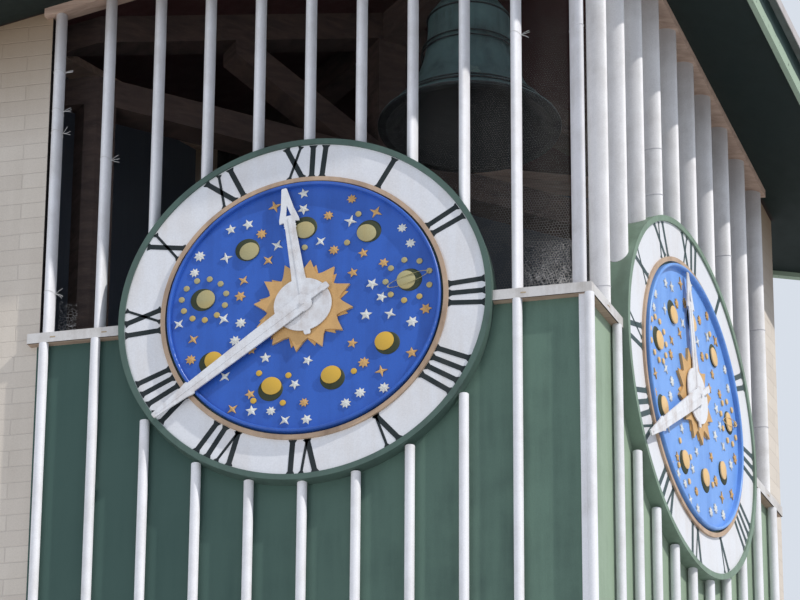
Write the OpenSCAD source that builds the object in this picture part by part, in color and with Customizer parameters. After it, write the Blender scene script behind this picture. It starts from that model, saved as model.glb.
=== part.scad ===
// Clock tower with a belfry over two round dials and a raked gable roof

/* [Plan] */
// Front, from the corner tube to the far brick corner
front_len = 3050; // [2950:10:3200]
// Right side, from the corner tube to the back brick corner
side_len = 2730; // [2600:10:3000]
// How far the near corner opens past a right angle, in degrees
skew = 11.3; // [0:0.1:15]
// Thickness of the brick walls
wall = 230; // [200:10:300]
// Brick face, measured inwards from the line of the tubes
brick_set = 27; // [24:1:40]

/* [Heights] */
// Top of the rail, which is also the height of the dials
rail_z = 12250; // [9000:50:14000]
// Height of the clock storey, from its sill to the rail
stage_h = 2050; // [1500:10:2400]
// Underside of the roof over the rail, along the level ridge
roof_rise = 2350; // [2200:10:2800]
// Fall of the roof from the ridge to the two low corners
roof_fall = 658; // [300:1:700]

/* [Rail and panels] */
// Height of the rail
rail_h = 52; // [40:1:80]
// How far the rail stands out from the line of the tubes
rail_out = 17; // [14:1:30]
// How far the rail reaches in behind the line of the tubes
rail_in = 100; // [92:1:140]
// How far the rails lap over the brick at the ends of the panels
rail_lap = 29; // [10:1:60]
// Brick beside the front panel
front_edge = 409; // [300:1:480]
// Brick beside the right panel
side_edge = 144; // [120:1:200]
// Thickness of the green panels
panel_t = 30; // [18:1:40]
// Gap between the drum of a dial and what is cut round it
drum_gap = 0.5; // [0.3:0.1:4]

/* [Tubes and fins] */
// Diameter of the tubes in front of the panels
tube_d = 46; // [36:1:50]
// Number of tubes and of fins on each face
tube_count = 10; // [6:1:10]
// Distance along the front to its first tube
front_tube = 337; // [300:1:380]
// Last front tube, back from the end of the panel
front_tube_end = 46; // [30:1:80]
// Distance along the right side to its first tube
side_tube = 352; // [320:1:380]
// Last tube of the right side, back from the end of the panel
side_tube_end = 79; // [40:1:120]
// Distance along the front to its first fin
front_fin = 342; // [300:1:380]
// Last front fin, back from the brick pier
front_fin_end = 41; // [35:1:60]
// Distance along the right side to its first fin
side_fin = 237; // [200:1:300]
// Last fin of the right side, back from the brick pier
side_fin_end = 35; // [33:1:60]
// Width of a fin, seen from the front
fin_w = 50; // [40:1:56]
// Depth of a fin, square to its wall
fin_depth = 102; // [80:1:104]
// How far a fin stands out from the line of the tubes
fin_out = 14; // [8:1:16]
// Width of the flat corner post
post_w = 54; // [40:1:60]

/* [Roof] */
// Thickness of the wall plate under the roof
plate_t = 42; // [30:1:80]
// How far the wall plates stand out from the line of the tubes
plate_out = 30; // [20:1:45]
// How far the front plate laps over the brick pier
plate_lap = 29; // [10:1:60]
// Overhang of the soffit along the front line
eave = 459; // [300:1:700]
// Thickness of the fascia boards
fascia_t = 30; // [18:1:45]
// Height of the fascia boards
fascia_h = 190; // [155:5:240]
// How far the fascia hangs below the soffit
fascia_drop = 25; // [0:1:35]
// Thickness of the roof covering
cover_t = 35; // [20:1:60]
// Overhang of the covering past the fascia
cover_out = 45; // [20:1:80]
// Height of the metal edge of the covering
edge_h = 55; // [40:1:90]
// Thickness of the metal edge
edge_t = 5; // [3:1:10]

/* [Dials] */
// Distance along the front to its dial
front_dial = 1337; // [1200:1:1400]
// Distance along the right side to its dial
side_dial = 1275; // [1200:1:1400]
// Height of the dial centres over the top of the rail
dial_rise = -3; // [-20:1:20]
// Outer radius of a dial's drum
drum_r = 888; // [800:1:900]
// Front of the drum, out from the line of the tubes
drum_out = 43; // [30:1:60]
// Back of the drum behind the fins
drum_in = 95; // [90:1:100]
// Width of the drum's rim
rim_w = 28; // [15:1:40]
// How far the numeral ring sits back from the rim
ring_set = 10; // [4:1:16]
// Thickness of the numeral ring
ring_t = 10; // [6:1:12]
// Outer radius of the gilt ring
gilt_r = 684; // [670:1:700]
// Width of the gilt ring
gilt_w = 22; // [12:1:28]
// Radius of the star disc
star_r = 651; // [500:1:655]
// Radius of the rounded lip of the star disc
lip_r = 8; // [5:1:12]
// How far the lip stands over the numeral ring's back
lip_rise = 39; // [30:1:45]
// Thickness of the star disc
star_t = 13; // [10:1:16]
// Thickness of the sun
sun_t = 14; // [8:1:15]
// Radius of the sun at the tips of its rays
sun_r = 238; // [180:1:280]
// Radius between the rays
sun_valley = 172; // [140:1:178]
// Number of the sun's rays
sun_rays = 12; // [8:1:16]

/* [Hands] */
// Length of a minute hand
minute_len = 870; // [760:1:880]
// Length of an hour hand
hour_len = 630; // [500:1:634]
// Minute hand, degrees clockwise from twelve
minute_at = 233.5; // [0:0.5:359.5]
// Hour hand, degrees clockwise from twelve
hour_at = 351; // [0:0.5:359.5]
// Clearance between a hand and what it passes
hand_gap = 6; // [5:0.5:9]
// Thickness of the hour hand
hour_t = 8; // [6:1:10]
// Thickness of the minute hand
minute_t = 10; // [8:1:14]
// Radius of the round boss of the hour hand
hub_r = 137; // [100:1:139]
// Radius of the minute arbor
arbor_r = 10; // [8:1:12]
// Wall of the hour sleeve round the arbor
sleeve_t = 10; // [6:1:14]
// Running clearance round the arbor and the sleeve
run_gap = 0.3; // [0.2:0.05:0.5]
// Height of the raised rib along each hand
rib_t = 2; // [1:0.5:3]
// Width of the rib
rib_w = 12; // [8:1:16]

/* [Belfry] */
// Thickness of the belfry floor
floor_t = 60; // [40:5:100]
// Depth of the belfry floor's top below the rail
floor_drop = 250; // [150:10:600]
// Length of a brick pier along the left and back walls
pier_len = 430; // [350:10:700]
// Width of the brick pier beside the front fins
front_pier = 424; // [300:1:480]
// Width of the brick strip beside the right fins
side_pier = 250; // [236:1:300]
// Thickness of the boarding in the closed openings
board_t = 30; // [20:1:45]
// Width of the ridge beam
beam_w = 120; // [80:5:160]
// Depth of the ridge beam
beam_d = 180; // [140:5:200]
// Section of the truss timbers
truss_s = 150; // [100:5:180]
// Height of the tie beam over the rail
tie_rise = 1385; // [1300:5:1450]
// Radius of the bell's mouth
bell_r = 445; // [300:5:450]
// Height of the bell, mouth to crown
bell_h = 700; // [500:5:720]
// Height of the bell's mouth over the rail
bell_rise = 1318; // [1280:1:1340]
// Distance of the bell from the corner tube
bell_along = 1035; // [950:5:1050]

/* [Door] */
// Width of the doorway
door_w = 900; // [700:10:1200]
// Height of the doorway
door_h = 2050; // [1900:10:2400]
// Thickness of the door leaf
door_t = 50; // [35:1:70]
// Thickness of the door frame
frame_t = 60; // [40:5:80]

/* [Hidden] */
$fn = 96;
FRONT = 0;
// Gap left where pieces rest on each other
seat = 0.3;
RIGHT = 1;
bar = 1 / cos(skew);
side_dir = [sin(skew), cos(skew)];
corner = [front_len / 2, 0] - side_len / 2 * side_dir;
ridge_z = rail_z + roof_rise;
under_rail = rail_z - rail_h;
sill_z = rail_z - stage_h;
shaft_z = sill_z - rail_h;
wall_in = brick_set + wall;
wall_ob = wall * bar;
dial_z = rail_z + dial_rise;
ring_back = drum_out - ring_set - ring_t;
face_out = ring_back + star_t;
lip_out = ring_back + lip_rise;
sun_out = face_out + sun_t;
hour_back = sun_out + hand_gap;
minute_back = max(hour_back + hour_t, lip_out) + hand_gap;
sleeve_r = arbor_r + run_gap + sleeve_t;
panel_set = brick_set + panel_t;
far = 6000;
roof_t = fascia_h - fascia_drop;
edge_reach = eave + (fascia_t + cover_out) * bar;
ridge_vec = front_len * [-1, 0] + side_len * side_dir;
ridge_turn = atan2(ridge_vec[1], ridge_vec[0]);
ridge_half = norm(ridge_vec) / 2;

// A point of the plan: p runs along the front and q along the right side
function plan(p, q) = corner + p * [-1, 0] + q * side_dir;
// The same point's [p, q] from a distance along a face and one square to it, inwards
function square(side, along, inward) = side == FRONT
    ? [along + inward * tan(skew), inward * bar] : [inward * bar, along + inward * tan(skew)];
// Underside of the roof, level along the diagonal from the near corner
function roof_at(p, q) = ridge_z - roof_fall * abs(p / front_len - q / side_len);
function face_len(side) = side == FRONT ? front_len : side_len;
function dial_of(side) = side == FRONT ? front_dial : side_dial;
// Where the brick begins beside the fins, and beside the panel below them
function pier_edge(side) = side == FRONT ? front_len - front_pier : side_len - side_pier;
function panel_end(side) = side == FRONT ? front_len - front_edge : side_len - side_edge;
// Even steps from the first place to the last
function step_at(first, last, k) = first + k * (last - first) / (tube_count - 1);
function at_tube(side, k) = side == FRONT
    ? step_at(front_tube, panel_end(FRONT) - front_tube_end, k)
    : step_at(side_tube, panel_end(RIGHT) - side_tube_end, k);
function at_fin(side, k) = side == FRONT
    ? step_at(front_fin, pier_edge(FRONT) - front_fin_end, k)
    : step_at(side_fin, pier_edge(RIGHT) - side_fin_end, k);
// Half the chord of the drum over a piece that is off its centre
function chord(side, along, half) =
    let (off = max(abs(along - dial_of(side)) - half, 0), r = drum_r + drum_gap)
    off < r ? sqrt(r * r - off * off) : 0;

// Places children on a face: along it from the near corner, and inwards
module on_face(side, along, inward = 0)
    translate(corner) rotate(side == FRONT ? 0 : 90 - skew)
        translate([side == FRONT ? -along : along, inward, 0]) children();

module at_dial(side) on_face(side, dial_of(side)) translate([0, 0, dial_z]) children();

// A level block on plan points given as [p, q]
module block(pts, z0, z1)
    translate([0, 0, z0]) linear_extrude(z1 - z0) polygon([for (v = pts) plan(v[0], v[1])]);

// A block whose lower and upper faces lie a set height over the roof's underside
module raked(pts, low, high) {
    n = len(pts);
    polyhedron(
        points = [for (h = [low, high], v = pts)
            concat(plan(v[0], v[1]), roof_at(v[0], v[1]) + h)],
        faces = concat([[for (i = [0:n - 1]) i]], [[for (i = [n - 1:-1:0]) n + i]],
            [for (i = [0:n - 1]) [i, n + i, n + (i + 1) % n, (i + 1) % n]]));
}

// Outline of one slope at a reach past the walls, ridge first
function slope(left, reach, joint = 0) =
    let (r = reach, s = reach * side_len / front_len, a = front_len, b = side_len)
    left ? [[a + r, b + s - joint * b / a], [a + r, -s], [joint - r, -s]]
        : [[-r, -s], [-r, b + s], [a + r, b + s]];

module above_roof(lower)
    for (left = [true, false]) raked(slope(left, far), -lower, far);

// Cuts children off just under the roof, or a set height below it
module under_roof(lower = 0) difference() {
    children();
    above_roof(lower + seat);
}

// A strip along a face between two distances inwards
module strip(side, from, to, in0, in1, z0, z1) {
    a = in0 * bar;
    b = in1 * bar;
    block(side == FRONT ? [[from, a], [to, a], [to, b], [from, b]]
        : [[a, from], [a, to], [b, to], [b, from]], z0, z1);
}

// A strip along a face with its near end mitred at the corner
module mitred(side, to, in0, in1, z0, z1) {
    a = in0 * bar;
    b = in1 * bar;
    block(side == FRONT ? [[a, a], [to, a], [to, b], [b, b]]
        : [[a, a], [b, b], [b, to], [a, to]], z0, z1);
}

module drum_hole(side) at_dial(side) rotate([90, 0, 0])
    cylinder(r = drum_r + drum_gap, h = far, center = true);

// Brickwork
module front_wall() color("antiquewhite") difference() {
    strip(FRONT, brick_set * bar, front_len, brick_set, wall_in, 0, under_rail);
    strip(FRONT, 0, panel_end(FRONT), brick_set, panel_set, shaft_z, rail_z);
    strip(RIGHT, 0, side_len, brick_set, panel_set, shaft_z, rail_z);
}

module right_wall() color("antiquewhite") difference() {
    strip(RIGHT, wall_in * bar, side_len - wall_ob, brick_set, wall_in, 0, under_rail);
    strip(RIGHT, 0, panel_end(RIGHT), brick_set, panel_set, shaft_z, rail_z);
}

module left_wall() color("antiquewhite")
    block([[front_len - wall_ob, wall_in * bar], [front_len, wall_in * bar],
        [front_len, side_len - wall_ob], [front_len - wall_ob, side_len - wall_ob]],
        0, under_rail);

door_p = front_len / 2;
module back_wall(from, to, z0, z1)
    block([[from, side_len - wall_ob], [to, side_len - wall_ob], [to, side_len],
        [from, side_len]], z0, z1);

module back_wall_right() color("antiquewhite") difference() {
    back_wall(brick_set * bar, door_p - door_w / 2, 0, under_rail);
    strip(RIGHT, 0, panel_end(RIGHT), brick_set, panel_set, shaft_z, rail_z);
}
module back_wall_left() color("antiquewhite")
    back_wall(door_p + door_w / 2, front_len, 0, under_rail);
module back_wall_over_door() color("antiquewhite")
    back_wall(door_p - door_w / 2, door_p + door_w / 2, door_h, under_rail);

// A leaf in the doorway, a set distance in from the brick face
module in_doorway(from, to, z1, t, inward)
    block([for (v = [[from, 0], [to, 0], [to, t], [from, t]])
        [door_p + v[0], side_len - (inward + v[1]) * bar]], 0, z1);

module door_frame() color("darkslategray") difference() {
    in_doorway(seat - door_w / 2, door_w / 2 - seat, door_h - seat, frame_t + door_t, frame_t);
    in_doorway(frame_t - door_w / 2, door_w / 2 - frame_t, door_h - frame_t, far, -far / 2);
}
module door() color("seagreen") {
    half = door_w / 2 - frame_t - seat;
    in_doorway(-half, half, door_h - frame_t - seat, door_t, frame_t);
}

// Clock storey
module stage_sill() color("white") {
    back = brick_set - seat;
    mitred(FRONT, panel_end(FRONT), -rail_out, back, shaft_z, sill_z);
    mitred(RIGHT, panel_end(RIGHT), -rail_out, back, shaft_z, sill_z);
}
module front_panel() color("seagreen")
    mitred(FRONT, panel_end(FRONT), brick_set, panel_set, shaft_z, under_rail);
module right_panel() color("darkseagreen")
    mitred(RIGHT, panel_end(RIGHT), brick_set, panel_set, shaft_z, under_rail);

module tubes(side) for (k = [0:tube_count - 1]) {
    along = at_tube(side, k);
    below = chord(side, along, tube_d / 2);
    top = below > 0 ? min(under_rail - seat, dial_z - below) : under_rail - seat;
    on_face(side, along) translate([0, 0, sill_z]) cylinder(d = tube_d, h = top - sill_z);
}
module front_tubes() color("white") {
    tubes(FRONT);
    corner_tube();
}
module right_tubes() color("white") tubes(RIGHT);

module corner_tube() {
    on_face(FRONT, 0) translate([0, 0, sill_z]) cylinder(d = tube_d, h = stage_h - rail_h - seat);
    strip(FRONT, tube_d / 2, tube_d / 2 + post_w / 2, 0, brick_set - seat, sill_z,
        under_rail - seat);
}

module rail(side) difference() {
    mitred(side, panel_end(side) + rail_lap, -rail_out, rail_in, under_rail, rail_z);
    drum_hole(side);
    far_end(side);
}
// Brick pier beside the fins, which the end of the rail laps over
module far_end(side) {
    e = pier_edge(side);
    block([square(side, e, brick_set), square(side, far, brick_set), square(side, far, far),
        square(side, e, far)], under_rail - 1, rail_z + 1);
}
module front_rail() color("white") rail(FRONT);
module right_rail() color("white") rail(RIGHT);

// Belfry
module belfry_floor() color("saddlebrown") {
    i = wall_in * bar;
    block([[i, i], [front_len - wall_ob, i], [front_len - wall_ob, side_len - wall_ob],
        [i, side_len - wall_ob]], rail_z - floor_drop - floor_t, rail_z - floor_drop);
}

module pier_block(pts) under_roof() block(pts, under_rail, ridge_z);

module left_pier() color("antiquewhite") {
    e = pier_edge(FRONT);
    b = front_len - wall_ob;
    pier_block([square(FRONT, e, brick_set), [front_len, brick_set * bar],
        [front_len, pier_len], [b, pier_len], [b, wall_in * bar], square(FRONT, e, wall_in)]);
}
module far_pier() color("antiquewhite") {
    a = front_len - wall_ob;
    b = side_len - wall_ob;
    pier_block([[a, side_len - pier_len], [front_len, side_len - pier_len],
        [front_len, side_len], [front_len - pier_len, side_len], [front_len - pier_len, b],
        [a, b]]);
}
module right_pier() color("antiquewhite") {
    e = pier_edge(RIGHT);
    pier_block([square(RIGHT, e, brick_set), square(RIGHT, e, rail_in),
        [rail_in * bar, side_len - wall_ob], [pier_len, side_len - wall_ob],
        [pier_len, side_len], [brick_set * bar, side_len]]);
}

// Closed openings of the two plain sides: a sill, and boards set back from the brick
module rear_sills() color("white") {
    c = rail_out * bar;
    e = pier_len + seat;
    block([[front_len - wall_ob, e], [front_len + c, e], [front_len + c, side_len - e],
        [front_len - wall_ob, side_len - e]], under_rail, rail_z);
    block([[e, side_len - wall_ob], [front_len - e, side_len - wall_ob],
        [front_len - e, side_len + c], [e, side_len + c]], under_rail, rail_z);
}
module rear_boards() color("seagreen") under_roof(plate_t + seat) {
    p = front_len - wall_ob / 2;
    q = side_len - wall_ob / 2;
    t = board_t * bar;
    e = pier_len + seat;
    block([[p, e], [p + t, e], [p + t, side_len - e], [p, side_len - e]], rail_z, ridge_z);
    block([[e, q], [front_len - e, q], [front_len - e, q + t], [e, q + t]], rail_z, ridge_z);
}

module corner_post() color("white") under_roof(plate_t + seat)
    on_face(FRONT, post_w * 1.5, 0) translate([0, -fin_out, rail_z])
        cube([post_w, fin_depth, roof_rise]);

module fin_shape() {
    r = fin_w / 2;
    translate([0, r]) circle(r);
    translate([0, fin_depth - r]) circle(r);
    translate([-r, r]) square([fin_w, fin_depth - fin_w]);
}
module fins(side) under_roof(plate_t + seat) for (k = [0:tube_count - 1]) {
    along = at_fin(side, k);
    above = chord(side, along, fin_w / 2);
    foot = above > 0 ? max(rail_z, dial_z + above) : rail_z;
    on_face(side, along, -fin_out) translate([0, 0, foot])
        linear_extrude(ridge_z - foot) fin_shape();
}
module front_fins() color("white") fins(FRONT);
module right_fins() color("white") fins(RIGHT);

// Wall plates follow the rake under the soffit and lap over the face of the brick
module plate(pts) raked(pts, -plate_t - seat, -seat);
module front_plate() color("tan") {
    e = pier_edge(FRONT);
    a = -plate_out * bar;
    b = rail_in * bar;
    on = brick_set - seat;
    plate([[a * front_len / side_len, a], square(FRONT, e + plate_lap, -plate_out),
        square(FRONT, e + plate_lap, on), square(FRONT, e - seat, on),
        square(FRONT, e - seat, rail_in), [b * front_len / side_len, b]]);
}
module right_plate() color("tan") {
    e = pier_edge(RIGHT) - seat;
    a = -plate_out * bar;
    b = rail_in * bar;
    plate([[b, b * side_len / front_len + seat], square(RIGHT, e, rail_in),
        square(RIGHT, e, -plate_out), [a, a * side_len / front_len + seat]]);
}
module rear_plates() color("tan") {
    a = front_len - wall_ob;
    b = side_len - wall_ob;
    e = pier_len + seat;
    plate([[a, e], [a, side_len - e], [front_len, side_len - e], [front_len, e]]);
    plate([[e, b], [e, side_len], [front_len - e, side_len], [front_len - e, b]]);
}

// Roof
module left_slope() color("darkslategray") raked(slope(true, eave), 0, roof_t);
module right_slope() color("darkslategray") raked(slope(false, eave), 0, roof_t);

// A rim round one slope between two reaches, its lengths just clear of each other
function towards(a, b) = a + (b - a) * seat / norm(b - a);
module rim(left, reach, t, low, high) {
    o = slope(left, reach + t);
    i = slope(left, reach);
    for (k = [0, 1]) raked([towards(o[k], o[k + 1]), towards(o[k + 1], o[k]),
        towards(i[k + 1], i[k]), towards(i[k], i[k + 1])], low, high);
}
module fascia() color("darkgreen") for (left = [true, false])
    rim(left, eave + seat, fascia_t * bar, -fascia_drop, fascia_h - fascia_drop - seat);

module roof_covering() color("dimgray") for (left = [true, false])
    raked(slope(left, edge_reach, 2 * seat), roof_t + seat, roof_t + cover_t);
module roof_edge() color("white") for (left = [true, false])
    rim(left, edge_reach + seat, edge_t * bar, roof_t + cover_t - edge_h, roof_t + cover_t);

// Places children with x along the ridge, from the middle of the plan
module on_ridge(along = 0) rotate(ridge_turn) translate([along, 0, 0]) children();

// The beam stops at the outer plates and the brick of the far corner
module ridge_beam() color("sienna") under_roof() intersection() {
    on_ridge(-ridge_half) translate([0, -beam_w / 2, ridge_z - beam_d])
        cube([2 * ridge_half, beam_w, beam_d]);
    n = (rail_in + seat) * bar;
    a = front_len - wall_ob - seat;
    b = side_len - wall_ob - seat;
    block([[n, n], [a, n], [a, b], [n, b]], rail_z, ridge_z);
}
// The strip of plan that the front and right plates cover
module plate_zone() {
    strip(FRONT, -far, far, -far, rail_in + seat, rail_z, ridge_z + roof_t);
    strip(RIGHT, -far, far, -far, rail_in + seat, rail_z, ridge_z + roof_t);
}

inner = [[wall_in * bar, wall_in * bar], [front_len - wall_ob, wall_in * bar],
    [front_len - wall_ob, side_len - wall_ob], [wall_in * bar, side_len - wall_ob]];
tie_z = rail_z + tie_rise;
tie_top = tie_z + truss_s;
// The truss stands over two posts, each in a low corner of the belfry
post_p = pier_edge(FRONT) - truss_s / 2 - 1;
post_q = wall_in * bar + truss_s / 2 + 1;
truss_turn = atan2(plan(post_p, post_q)[1], plan(post_p, post_q)[0]);
post_at = norm(plan(post_p, post_q));
// Fall of the roof along the truss, and where a strut meets its rafter
rake = (ridge_z - roof_at(post_p, post_q)) / post_at;
strut_x = post_at * 0.55;
strut_z = ridge_z - rake * strut_x - truss_s;

module roof_truss() color("sienna") difference() {
    intersection() {
        rotate(truss_turn) translate([0, truss_s / 2, 0]) rotate([90, 0, 0])
            linear_extrude(truss_s) truss_shape();
        block(inner, rail_z - floor_drop, ridge_z);
    }
    above_roof(seat);
    ridge_beam();
    plate_zone();
}
module truss_shape() {
    translate([-far, tie_z]) square([2 * far, truss_s]);
    translate([-truss_s / 2, tie_top - 1]) square([truss_s, ridge_z - tie_top]);
    for (m = [0, 1]) mirror([m, 0]) {
        translate([post_at - truss_s / 2, rail_z - floor_drop])
            square([truss_s, tie_top - rail_z + floor_drop]);
        polygon([[0, ridge_z], [far, ridge_z - rake * far], [far, ridge_z - rake * far - truss_s],
            [0, ridge_z - truss_s]]);
        polygon([[0, tie_z], [0, tie_z + truss_s], [strut_x, strut_z + truss_s / 2],
            [strut_x, strut_z - truss_s / 2]]);
    }
}

// Bell: the waist narrows as a power of the height and flares to the mouth
bell_z = rail_z + bell_rise;
bell_top_r = bell_r * 0.46;
bell_wall = bell_r * 0.08;
bell_steps = 14;
function waist(h) = bell_top_r + (bell_r - bell_top_r) * pow(1 - h, 2.6);
module bell() color("darkslategray") on_ridge(bell_along - ridge_half)
    translate([0, 0, bell_z]) rotate_extrude() {
        shoulder = bell_h * 0.88;
        outer = [for (i = [0:bell_steps]) [waist(i / bell_steps), shoulder * i / bell_steps]];
        inside = [for (i = [bell_steps:-1:0])
            [waist(i / bell_steps) - bell_wall, (shoulder - bell_wall) * i / bell_steps]];
        polygon(concat(outer, [[bell_top_r * 0.72, bell_h], [0, bell_h],
            [0, shoulder - bell_wall]], inside));
    }
module bell_hanger() color("dimgray") on_ridge(bell_along - ridge_half)
    translate([0, 0, bell_z + bell_h])
        cylinder(r = bell_top_r * 0.4, h = ridge_z - beam_d - bell_z - bell_h);

// Dials
module drum_face(side, from, to) at_dial(side) rotate([90, 0, 0]) translate([0, 0, from])
    linear_extrude(to - from) children();
module ring_shape(outer, inner_r) difference() {
    circle(outer, $fn = 180);
    circle(inner_r, $fn = 180);
}

module dial_case(side) difference() {
    union() {
        drum_face(side, seat - brick_set, ring_back) circle(drum_r, $fn = 180);
        drum_face(side, ring_back, drum_out) ring_shape(drum_r, drum_r - rim_w);
        drum_face(side, -drum_in, seat - brick_set) intersection() {
            circle(drum_r, $fn = 180);
            translate([-far / 2, seat - rail_h - dial_rise]) square(far);
        }
    }
    drum_face(side, 0, far) circle(arbor_r + run_gap);
}
module numeral_ring(side) drum_face(side, ring_back, ring_back + ring_t)
    ring_shape(drum_r - rim_w, gilt_r);
module gilt_ring(side) drum_face(side, ring_back, ring_back + gilt_w)
    ring_shape(gilt_r, gilt_r - gilt_w);

// A dished disc with a rounded lip, bored for the hour sleeve
module star_disc(side) at_dial(side) rotate([90, 0, 0]) translate([0, 0, ring_back])
    rotate_extrude($fn = 180) difference() {
        union() {
            translate([sleeve_r + run_gap, 0]) square([star_r - sleeve_r - run_gap, star_t]);
            translate([star_r - 2 * lip_r, 0]) square([2 * lip_r, lip_rise - lip_r]);
            translate([star_r - lip_r, lip_rise - lip_r]) circle(lip_r);
        }
    }
// Rays with hollow sides, each drawn from its tip to the valley after it
module sun(side) drum_face(side, face_out, sun_out) difference() {
    step = 180 / sun_rays;
    polygon([for (i = [0:sun_rays - 1], v = [[0, 0], [0.28, 0.42], [0.6, 0.78], [1, 1],
            [1.4, 0.78], [1.72, 0.42]]) let (r = sun_r + (sun_valley - sun_r) * v[1],
            at = (2 * i + 0.5 + v[0]) * step) r * [sin(at), cos(at)]]);
    circle(sleeve_r + run_gap);
}

// Hands, drawn pointing to twelve
// Each outline is half the hand: [half width, radius as a part of the length]
hour_half = [[37, 0.12], [32, 0.262], [25, 0.655], [28, 0.66], [29, 0.667], [25, 0.674],
    [28, 0.68], [29, 0.688], [25, 0.695], [28, 0.7], [28, 0.712], [48, 0.706], [48, 0.731],
    [31, 0.83], [21, 0.92], [13, 0.994], [8, 1]];
hour_slot = [[13, 0.762], [10, 0.78], [5, 0.815], [1, 0.848]];
minute_half = [[40, 0.03], [39, 0.16], [37, 0.31], [28, 0.742], [36, 0.749], [36, 0.76],
    [29, 0.79], [20, 0.9], [13.5, 0.995], [8, 1]];
tail_half = [[12, 0], [12, -0.8], [16, -0.86], [16, -1.04], [12, -1.1]];
module mirrored(half, length) polygon(concat([for (v = half) [v[0], v[1] * length]],
    [for (i = [len(half) - 1:-1:0]) [-half[i][0], half[i][1] * length]]));
module hand(side, clockwise, from, to) drum_face(side, from, to) rotate(-clockwise) children();
// A rib from the hub to a part of the hand's length
module rib(length, share) polygon([[-rib_w / 2, 0], [-rib_w / 3, length * share],
    [rib_w / 3, length * share], [rib_w / 2, 0]]);

module hour_hand(side) {
    front = hour_back + hour_t;
    difference() {
        union() {
            hand(side, hour_at, hour_back, front - rib_t) difference() {
                union() {
                    circle(hub_r);
                    mirrored(hour_half, hour_len);
                    mirrored(tail_half, hub_r * 1.05);
                }
                mirrored(hour_slot, hour_len);
            }
            hand(side, hour_at, hour_back, front) rib(hour_len, 0.74);
            drum_face(side, ring_back + run_gap, front) circle(sleeve_r);
        }
        drum_face(side, 0, far) circle(arbor_r + run_gap);
    }
}
module minute_hand(side) {
    front = minute_back + minute_t;
    hand(side, minute_at, minute_back, front - rib_t) {
        circle(hub_r / 3);
        mirrored(minute_half, minute_len);
        mirrored(tail_half, hub_r);
    }
    hand(side, minute_at, minute_back, front) rib(minute_len, 0.97);
    drum_face(side, run_gap, front + 2 * rib_t) circle(arbor_r);
}

module front_case() color("darkgreen") dial_case(FRONT);
module front_numeral_ring() color("gainsboro") numeral_ring(FRONT);
module front_gilt_ring() color("tan") gilt_ring(FRONT);
module front_star_disc() color("royalblue") star_disc(FRONT);
module front_sun() color("peru") sun(FRONT);
module front_hour_hand() color("white") hour_hand(FRONT);
module front_minute_hand() color("white") minute_hand(FRONT);
module right_case() color("darkseagreen") dial_case(RIGHT);
module right_numeral_ring() color("white") numeral_ring(RIGHT);
module right_gilt_ring() color("tan") gilt_ring(RIGHT);
module right_star_disc() color("cornflowerblue") star_disc(RIGHT);
module right_sun() color("sandybrown") sun(RIGHT);
module right_hour_hand() color("white") hour_hand(RIGHT);
module right_minute_hand() color("white") minute_hand(RIGHT);

front_wall();
right_wall();
left_wall();
back_wall_left();
back_wall_right();
back_wall_over_door();
door_frame();
door();
stage_sill();
front_panel();
right_panel();
front_tubes();
right_tubes();
front_rail();
right_rail();
belfry_floor();
left_pier();
far_pier();
right_pier();
rear_sills();
rear_boards();
corner_post();
front_fins();
right_fins();
front_plate();
right_plate();
rear_plates();
left_slope();
right_slope();
fascia();
roof_covering();
roof_edge();
ridge_beam();
roof_truss();
bell();
bell_hanger();
front_case();
front_numeral_ring();
front_gilt_ring();
front_star_disc();
front_sun();
front_hour_hand();
front_minute_hand();
right_case();
right_numeral_ring();
right_gilt_ring();
right_star_disc();
right_sun();
right_hour_hand();
right_minute_hand();
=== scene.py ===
"""Dresses the clock tower: its brick, painted timber and metal, dials, hands, bell and netting."""
import math
import random

import bpy
from mathutils import Matrix, Vector


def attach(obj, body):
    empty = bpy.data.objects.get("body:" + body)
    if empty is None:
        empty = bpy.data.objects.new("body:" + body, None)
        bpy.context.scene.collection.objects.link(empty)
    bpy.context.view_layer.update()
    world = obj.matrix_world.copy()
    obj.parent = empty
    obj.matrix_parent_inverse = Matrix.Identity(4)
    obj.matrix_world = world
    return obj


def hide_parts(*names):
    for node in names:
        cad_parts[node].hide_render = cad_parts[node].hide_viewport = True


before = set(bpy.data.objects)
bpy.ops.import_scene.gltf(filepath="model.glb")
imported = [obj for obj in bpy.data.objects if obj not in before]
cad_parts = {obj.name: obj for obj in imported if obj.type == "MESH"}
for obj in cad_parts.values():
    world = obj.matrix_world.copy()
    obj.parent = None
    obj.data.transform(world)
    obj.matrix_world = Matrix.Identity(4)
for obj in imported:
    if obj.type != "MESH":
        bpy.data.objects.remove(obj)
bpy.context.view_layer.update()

bl_info = {
    "name": "Clock Tower",
    "version": (1, 0, 0),
    "blender": (4, 5, 0),
    "location": "3D View > Sidebar > Clock Tower",
    "description": "Models and paints the dressed clock tower over its solid frame",
    "category": "Add Mesh",
}

# Plan and heights of the tower, in metres, as in the solid model
FRONT_LEN = 3.05
SIDE_LEN = 2.73
SKEW = math.radians(11.3)
RAIL_Z = 12.25
RIDGE_Z = 14.6
ROOF_FALL = 0.658
PLATE_FOOT = RIDGE_Z - 0.0424
UP = Vector((0, 0, 1))
SIDE_DIR = Vector((math.sin(SKEW), math.cos(SKEW), 0.0))
SIDE_OUT = Vector((math.cos(SKEW), -math.sin(SKEW), 0.0))
CORNER = Vector((FRONT_LEN / 2, 0, 0)) - SIDE_DIR * (SIDE_LEN / 2)

# Share of the roof's fall for each metre off the ridge
OFF_RIDGE = Vector((-1 / FRONT_LEN, (SIDE_DIR.x / FRONT_LEN - 1 / SIDE_LEN) / SIDE_DIR.y, 0))

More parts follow.
